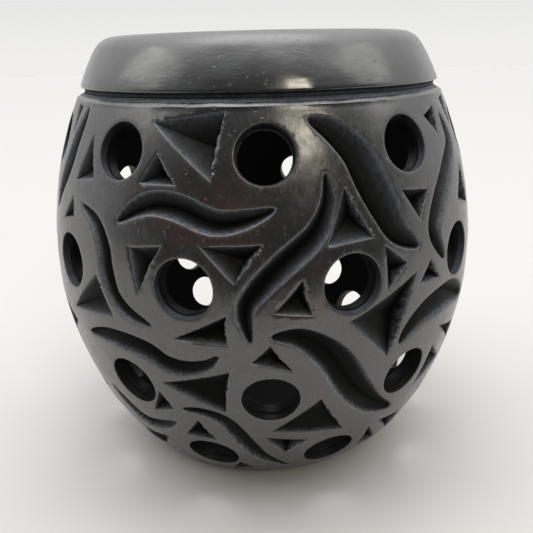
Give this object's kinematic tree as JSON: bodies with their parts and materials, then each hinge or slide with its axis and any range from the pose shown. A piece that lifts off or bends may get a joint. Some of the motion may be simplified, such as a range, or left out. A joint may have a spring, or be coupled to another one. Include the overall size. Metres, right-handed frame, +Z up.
{
  "type": "pierced clay pot",
  "caption": "Small round black clay pot with a plain burnished collar, pierced with round holes and carved all round, for a candle or for show.",
  "frame": {"origin": "centre of the foot's underside, where the pot stands", "axes": "+Z up along the pot's axis, out of its mouth; -Y is the side that the picture shows"},
  "size_m": [0.108, 0.108, 0.106],
  "materials": {
    "burnished_clay": "burnished to a pewter gloss",
    "satin_clay": "burnished satin with matt carving",
    "plain_clay": "matt, smoked black"
  },
  "bodies": {
    "root": {"rim_collar": "burnished_clay", "pierced_wall": "satin_clay", "base_floor": "plain_clay"}
  },
  "joints": []
}
